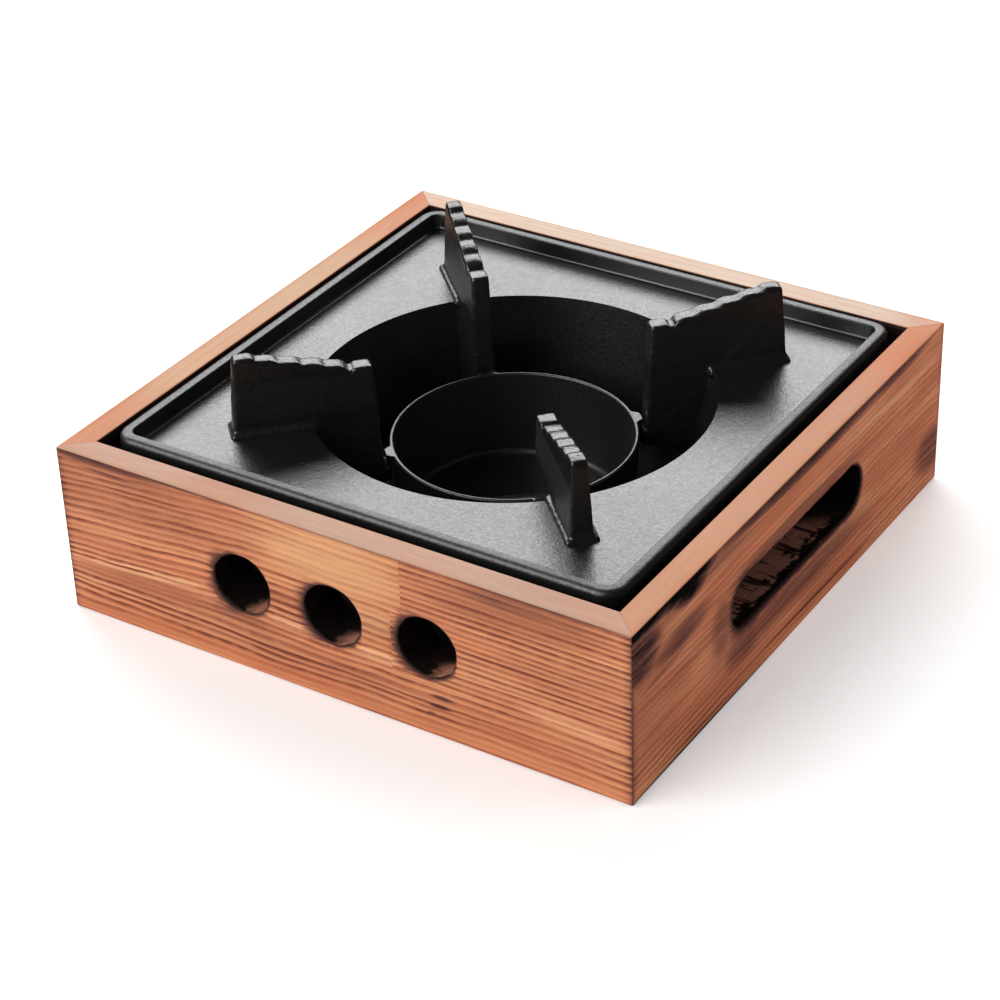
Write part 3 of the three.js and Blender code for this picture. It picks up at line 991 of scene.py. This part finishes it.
def turned(name, profile, steps):
    """A profile of radius and height turned about the middle."""
    piece = outline(name, [(radius, 0, height) for radius, height in profile])
    with Bench(piece) as bench:
        bench.everything()
        bpy.ops.mesh.spin(steps=steps, angle=FULL_TURN, center=(0, 0, 0), axis=(0, 0, 1))
        bench.everything()
        bpy.ops.mesh.remove_doubles(threshold=NEAR / 5)
        bench.outwards()
    return piece


# The iron tray


# How far the rim stands over the plate and over the boards, and how its inside narrows
RIM_DEPTH = 4.9 * MM
RIM_PROUD = 1.5 * MM
RIM_LEAN = 0.994

# The well: its cutter's sides and overrun, the band in which its edge is found, and its foot
WELL_SIDES = 160
OVERRUN = 3 * MM
WELL_BAND = 0.3 * MM
SKIRT_ROUND = 0.6 * MM


def plate_height():
    """Height of the plate, below a rim that stands proud of the boards."""
    return BOARD[1][2] + RIM_PROUD - RIM_DEPTH


def tray_plate(iron):
    """The square plate with its rim, its well and the skirt below."""
    low, high = Vector(TRAY[0]), Vector(TRAY[1])
    plate_top, skirt_foot = plate_height(), low.z
    underside = plate_top - iron.plate
    low.z, high.z = underside, plate_top + RIM_DEPTH
    inside = high.x - iron.rim + 10 * NEAR

    def on_rim_top(edge):
        return is_sharp(edge) and middle(edge).z > high.z - NEAR

    def from_middle(edge):
        return max(abs(v) for vertex in edge.verts for v in vertex.co.xy)

    def at_plate(edge, reach):
        return abs(middle(edge).z - plate_top) < reach

    tray = block("iron_tray_plate", low, high)
    with Bench(tray) as bench:
        bench.choose("edges", is_upright)
        bench.bevel(iron.corner, 10)
        bench.choose("faces", faces_up)
        bpy.ops.mesh.inset(thickness=iron.rim, depth=0)
        bench.extrude(0, 0, -RIM_DEPTH)
        bpy.ops.transform.resize(value=(RIM_LEAN, RIM_LEAN, 1))
        bench.choose("edges", lambda edge: on_rim_top(edge) and from_middle(edge) < inside)
        bench.bevel(iron.rim_inside, 3)
        bench.choose("edges", lambda edge: on_rim_top(edge) and from_middle(edge) > inside)
        bench.bevel(iron.rim_round, 4)
        bench.choose("edges", lambda edge: is_sharp(edge) and at_plate(edge, NEAR))
        bench.bevel(iron.foot_round, 5)
        bench.choose("edges", lambda edge: is_sharp(edge) and middle(edge).z < underside + NEAR)
        bench.bevel(iron.rim_round, 3)

    def cone(name, bottom, top, wall):
        """The well's cone between two heights, wider by a wall."""
        lean = iron.draft / (plate_top - skirt_foot)
        low, high = (iron.well - lean * (plate_top - height) + wall for height in (bottom, top))
        return rod(name, low, top - bottom, (0, 0, (top + bottom) / 2), WELL_SIDES, top=high)

    cut(tray, cone("skirt", skirt_foot, underside + iron.plate / 2, iron.skirt), "UNION")
    cut(tray, cone("well", skirt_foot - OVERRUN, plate_top + OVERRUN, 0))
    with Bench(tray) as bench:
        bench.choose("edges", lambda edge: on_circle(edge, iron.well) and at_plate(edge, 5 * NEAR))
        bench.bevel(iron.well_round, 4)
        lowest = skirt_foot + 5 * NEAR
        bench.choose("edges", lambda edge: is_sharp(edge, 0.5) and middle(edge).z < lowest)
        bench.bevel(SKIRT_ROUND, 3)
    smooth(tray)
    return tray


def on_circle(edge, radius):
    point = middle(edge)
    return abs(math.hypot(point.x, point.y) - radius) < WELL_BAND


# Side view of a rib in millimetres: out from the middle, and up from the plate
RIB_INNER = 41.5
SEAT_HEIGHT, SEAT_EDGE = 17.0, 0.7
NOTCH_WIDTH, NOTCH_DEPTH = 1.7, 0.95
STEP_START = 48.8
STEP_PITCH, STEP_RUN, STEP_RISE = 6.65, 4.4, 1.55
STEP_COUNT = 4
STEP_POINTS = 8
KNOB_LENGTH, KNOB_RUN, KNOB_RISE, KNOB_EDGE = 6.6, 2.2, 1.45, 0.9
RIB_HEIGHT = 24.46
RIB_DRAFT = 1.4
RIB_SUNK = -1.6
LEDGE = [(39.9, -17.3), (37.9, -17.3), (37.9, -21.9)]
TOE = [(57.0, -28.3), (61.6, RIB_SUNK)]

# Half a rib's thickness at its foot and top, and the rounding of its upright edges
RIB_FOOT, RIB_TOP = 3.55, 2.4
RIB_CORNER = 1.1

# Beads that the casting's fillets are made from, on the plate and down the well's wall: their
# ends along the rib, their heights, how far they stand out, and their shrinkage towards the top
FOOT_BEAD = ((58.8, 84.7), (-1.4, 1.3), 1.75, (0.96, 0.9, 1))
THROAT_BEAD = ((55.0, 62.4), (-27.0, -0.6), 0.9, (1, 1, 1))
THROAT_LEAN = 5.0 * MM

# How often a casting's edges are smoothed, and the size and depth of the bumps in its skin
SKIN_SMOOTHING = 20
SKIN_CLOUD, SKIN_DEPTH = 1.3 * MM, 0.2 * MM


def rib_side():
    """Points round a rib, from its outer foot over the steps to the ledge under the cup's lug."""
    knob = STEP_START + STEP_COUNT * STEP_PITCH
    outer = knob + KNOB_LENGTH
    foot = outer + RIB_DRAFT
    points = [(foot, RIB_SUNK), (foot, 0.0)]
    points += [(outer, RIB_HEIGHT - KNOB_EDGE), (outer - KNOB_EDGE, RIB_HEIGHT)]
    rises = [(knob, KNOB_RUN, SEAT_HEIGHT + STEP_COUNT * STEP_RISE, KNOB_RISE)]
    for i in reversed(range(STEP_COUNT)):
        drop = 0.0 if i else NOTCH_DEPTH
        base = SEAT_HEIGHT + i * STEP_RISE - drop
        rises.append((STEP_START + i * STEP_PITCH, STEP_RUN, base, STEP_RISE + drop))
    for start, run, base, rise in rises:
        for i in reversed(range(STEP_POINTS + 1)):
            angle = QUARTER_TURN * i / STEP_POINTS
            points.append((start + run * (1 - math.cos(angle)), base + rise * math.sin(angle)))
    notch = STEP_START - NOTCH_WIDTH
    points += [(notch, SEAT_HEIGHT - NOTCH_DEPTH), (notch, SEAT_HEIGHT)]
    points += [(RIB_INNER + SEAT_EDGE, SEAT_HEIGHT), (RIB_INNER, SEAT_HEIGHT - SEAT_EDGE)]
    return points + LEDGE + TOE


def bead(name, ends, heights, out, shrink):
    """A bead of a rib's fillet: a block, narrower at its top."""
    wide = RIB_FOOT + out
    low, high = zip(ends, (-wide, wide), heights)
    level = Vector((0, 0, plate_height()))
    piece = block(name, Vector(low) * MM + level, Vector(high) * MM + level)
    with Bench(piece) as bench:
        bench.choose("faces", faces_up)
        bpy.ops.transform.resize(value=shrink)
    return piece


def rib(name, iron):
    """One stepped rib along +X, thinned towards its top and softened as a casting is."""
    plate_top = plate_height()
    points = [(x * MM, -RIB_FOOT * MM, plate_top + z * MM) for x, z in rib_side()]
    piece = slab(name, points, (0, 2 * RIB_FOOT * MM, 0))
    with Bench(piece) as bench:
        bench.choose("edges", lambda edge: abs(edge.verts[0].co.z - edge.verts[1].co.z) > 5 * MM)
        bench.bevel(RIB_CORNER * MM, 4)
    for vertex in piece.data.vertices:
        up = max(0.0, (vertex.co.z - plate_top) / (RIB_HEIGHT * MM))
        vertex.co.y *= 1 + (RIB_TOP / RIB_FOOT - 1) * up
    foot = bead("foot", *FOOT_BEAD)
    throat = bead("throat", *THROAT_BEAD)
    with Bench(throat) as bench:
        bench.choose("faces", faces_up)
        bpy.ops.transform.translate(value=(THROAT_LEAN, 0, 0))
    join(piece, foot, throat)
    finish_with(piece, "REMESH", mode="VOXEL", voxel_size=iron.grain)
    finish_with(piece, "SMOOTH", factor=0.5, iterations=SKIN_SMOOTHING)
    skin = bpy.data.textures.new("casting_skin", "CLOUDS")
    skin.noise_scale = SKIN_CLOUD
    skin.noise_depth = 2
    finish_with(piece, "DISPLACE", texture=skin, texture_coords="LOCAL", strength=SKIN_DEPTH)
    bpy.ops.object.shade_smooth()
    return piece


class STOVE_OT_tray(bpy.types.Operator):
    """Model the cast-iron tray with its rim, well and four stepped ribs"""

    bl_idname = "stove.tray"
    bl_label = "Iron Tray"

    def execute(self, context):
        iron = context.scene.stove_iron
        coating = cast_iron("cast_iron", iron.iron, iron.worn, 0.33, 0.075)
        dress(tray_plate(iron), coating, "tray", "iron", "iron_tray")
        first = rib("rib_master", iron)
        for i, corner in enumerate(CORNERS):
            piece = copy_of(first, f"pot_rib_{corner}")
            turn_round(piece, (i - 0.5) * QUARTER_TURN)
            dress(piece, coating, "tray", "iron", "iron_tray")
        bpy.data.objects.remove(first)
        return {"FINISHED"}


class STOVE_OT_cup(bpy.types.Operator):
    """Model the fuel cup with its four lugs"""

    bl_idname = "stove.cup"
    bl_label = "Fuel Cup"

    def execute(self, context):
        iron = context.scene.stove_iron
        cup = fuel_cup(iron)
        coating = cast_iron("cup_coating", iron.steel, iron.worn, 0.4, 0.03)
        dress(cup, coating, "cup", "black_steel", "fuel_cup")
        return {"FINISHED"}


def arc(centre_r, centre_z, radius, start, end, steps):
    """Points on part of a circle, with angles in degrees."""
    points = []
    for i in range(steps + 1):
        angle = math.radians(start + (end - start) * i / steps)
        points.append((centre_r + radius * math.cos(angle), centre_z + radius * math.sin(angle)))
    return points


# The cup's radii under its rim and at its foot, its floor and the bend up to the wall, which
# ends some degrees short of upright
CUP_RADIUS, CUP_FOOT = 37.3 * MM, 35.6 * MM
CUP_FLOOR, CUP_BEND = 1.7 * MM, 2.4 * MM
CUP_LEAN = -4
CUP_SIDES, BEND_STEPS, RIM_STEPS = 144, 6, 8

# A lug's tip, half its width, the flare at its root, its thickness and its roundings
LUG_TIP, LUG_HALF, LUG_FLARE, LUG_THICK = 39.1 * MM, 2.4 * MM, 1.1 * MM, 3.0 * MM
LUG_NECK, LUG_CORNER, LUG_EDGE = 0.9 * MM, 0.7 * MM, 0.45 * MM
LUG_BELOW_RIM = 0.05 * MM


def fuel_cup(iron):
    """A thin round cup with a rounded rim and a lug over each rib's ledge."""
    base, rim = CUP[0][2], CUP[1][2]
    wall, lip = iron.wall, iron.wall / 2
    profile = [(0, base)]
    outer, inner = CUP_FOOT - CUP_BEND, CUP_FOOT - CUP_BEND - wall
    floor = base + CUP_FLOOR
    profile += arc(outer, base + CUP_BEND, CUP_BEND, -90, CUP_LEAN, BEND_STEPS)
    profile += arc(CUP_RADIUS - lip, rim - lip, lip, 0, 180, RIM_STEPS)
    profile += arc(inner, floor + CUP_BEND, CUP_BEND, CUP_LEAN, -90, BEND_STEPS)
    profile += [(0, floor)]
    cup = turned("fuel_cup_shell", profile, CUP_SIDES)
    edge = [
        (CUP_RADIUS - wall * 0.6, LUG_HALF + LUG_FLARE),
        (CUP_RADIUS, LUG_HALF + LUG_FLARE * 0.6),
        (CUP_RADIUS + LUG_NECK, LUG_HALF),
        (LUG_TIP - LUG_CORNER, LUG_HALF),
        (LUG_TIP, LUG_HALF - LUG_CORNER),
    ]
    under = rim - LUG_THICK
    points = [(x, -y, under) for x, y in edge] + [(x, y, under) for x, y in reversed(edge)]

    def on_lug_top(edge):
        point = middle(edge)
        return is_sharp(edge) and point.z > rim - 4 * LUG_BELOW_RIM and point.x > CUP_RADIUS

    lug = slab("lug", points, (0, 0, LUG_THICK - LUG_BELOW_RIM))
    with Bench(lug) as bench:
        bench.choose("edges", on_lug_top)
        bench.bevel(LUG_EDGE, 3)
    lugs = [lug] + [copy_of(lug, "lug") for _ in CORNERS[1:]]
    for i, each in enumerate(lugs):
        turn_round(each, (i + 0.5) * QUARTER_TURN)
    join(*lugs)
    cut(cup, lug, "UNION")
    smooth(cup, 40)
    return cup


# The studio


# The floor's width and how far it lies under the stove, in metres
FLOOR_WIDTH, FLOOR_DROP = 14, 0.0002
LIGHTS_AIM = (0, 0, 0.05)
# Each soft light's setting, place, width and height
SOFT_LIGHTS = {
    "back_window": ("window", (-0.95, 1.12, 0.98), 2.3, 0.85),
    "key_box": ("key", (-0.75, -1.35, 1.05), 1.6, 1.3),
    "fill_box": ("fill", (1.2, 0.5, 0.75), 0.9, 0.9),
}


def soft_light(name, place, width, height, watts):
    """A flat soft light that looks at the stove."""
    data = bpy.data.lights.new(name, "AREA")
    data.shape = "RECTANGLE"
    data.size, data.size_y = width, height
    data.energy = watts
    light = bpy.data.objects.new(name, data)
    bpy.context.collection.objects.link(light)
    light.location = place
    light.rotation_euler = (Vector(LIGHTS_AIM) - Vector(place)).to_track_quat("-Z", "Y").to_euler()
    return light


class STOVE_OT_studio(bpy.types.Operator):
    """Set the pale floor, the soft lights and the camera"""

    bl_idname = "stove.studio"
    bl_label = "Studio"

    def execute(self, context):
        studio = context.scene.stove_studio
        scene = context.scene
        deselect()
        bpy.ops.mesh.primitive_plane_add(size=FLOOR_WIDTH, location=(0, 0, -FLOOR_DROP))
        floor = bpy.context.object
        floor.name = "studio_floor"
        paint = Paint("studio_paper")
        cloud = paint.specks(400, detail=1.0)
        tone = paint.mix(cloud * 0.1, studio.floor, studio.shade)
        glow = {"Emission Color": tone, "Emission Strength": studio.glow}
        floor.data.materials.append(paint.surface(tone, 0.9, **glow))
        floor.visible_glossy = False

        world = bpy.data.worlds.new("studio_room")
        scene.world = world
        world.use_nodes = True
        background = world.node_tree.nodes["Background"]
        background.inputs["Color"].default_value = (1, 1, 1, 1)
        background.inputs["Strength"].default_value = studio.room
        world.cycles_visibility.glossy = False

        # The fill light only lifts the shadows and leaves no highlight
        for name, (part, place, width, height) in SOFT_LIGHTS.items():
            light = soft_light(name, place, width, height, getattr(studio, part))
            light.visible_glossy = name != "fill_box"

        data = bpy.data.cameras.new("camera")
        data.lens = data.sensor_width * CAMERA_FOCUS
        data.clip_start, data.clip_end = 0.01, 30
        camera = bpy.data.objects.new("camera", data)
        context.collection.objects.link(camera)
        camera.matrix_world = camera_place()
        scene.camera = camera
        scene.view_settings.view_transform = "Standard"
        scene.view_settings.look = "None"
        return {"FINISHED"}


# Camera as read from the photo's edges: azimuth, elevation and roll in degrees, lengths in
# metres, and the lens as a share of the sensor's width
CAMERA_ANGLES = (33.279, 32.335, -2.045)
CAMERA_TARGET = (0.031222, -0.056588, 0.055141)
CAMERA_DISTANCE = 0.7586
CAMERA_FOCUS = 2.762


def camera_place():
    """The camera's place and turn."""
    azimuth, elevation, roll = (math.radians(angle) for angle in CAMERA_ANGLES)
    level = math.cos(elevation)
    back = Vector((math.sin(azimuth) * level, -math.cos(azimuth) * level, math.sin(elevation)))
    right = Vector((math.cos(azimuth), math.sin(azimuth), 0))
    up = back.cross(right)
    turned_right = right * math.cos(roll) + up * math.sin(roll)
    turned_up = up * math.cos(roll) - right * math.sin(roll)
    place = Matrix((turned_right, turned_up, back)).transposed().to_4x4()
    place.translation = Vector(CAMERA_TARGET) + back * CAMERA_DISTANCE
    return place


class STOVE_PT_panel(bpy.types.Panel):
    """Sidebar panel that lists the stove's pieces and values"""

    bl_idname = "STOVE_PT_panel"
    bl_label = "Warming Stove"
    bl_space_type = "VIEW_3D"
    bl_region_type = "UI"
    bl_category = "Stove"

    def draw(self, context):
        layout = self.layout
        for operator in OPERATORS:
            layout.operator(operator.bl_idname)
        for name, group in SETTINGS.items():
            column = layout.column(align=True)
            for field in group.__annotations__:
                column.prop(getattr(context.scene, name), field)


SETTINGS = {
    "stove_box": StoveBoxSettings,
    "stove_iron": StoveIronSettings,
    "stove_studio": StoveStudioSettings,
}
OPERATORS = (
    STOVE_OT_boards,
    STOVE_OT_inside,
    STOVE_OT_screws,
    STOVE_OT_tray,
    STOVE_OT_cup,
    STOVE_OT_studio,
)


def register():
    for group in SETTINGS.values():
        bpy.utils.register_class(group)
    for name, group in SETTINGS.items():
        setattr(bpy.types.Scene, name, bpy.props.PointerProperty(type=group))
    for kind in (*OPERATORS, STOVE_PT_panel):
        bpy.utils.register_class(kind)


def unregister():
    for kind in reversed((*OPERATORS, STOVE_PT_panel)):
        bpy.utils.unregister_class(kind)
    for name, group in SETTINGS.items():
        delattr(bpy.types.Scene, name)
        bpy.utils.unregister_class(group)


def main():
    register()
    bpy.ops.stove.boards()
    bpy.ops.stove.inside()
    bpy.ops.stove.screws()
    bpy.ops.stove.tray()
    bpy.ops.stove.cup()
    bpy.ops.stove.studio()


if __name__ == "__main__":
    main()
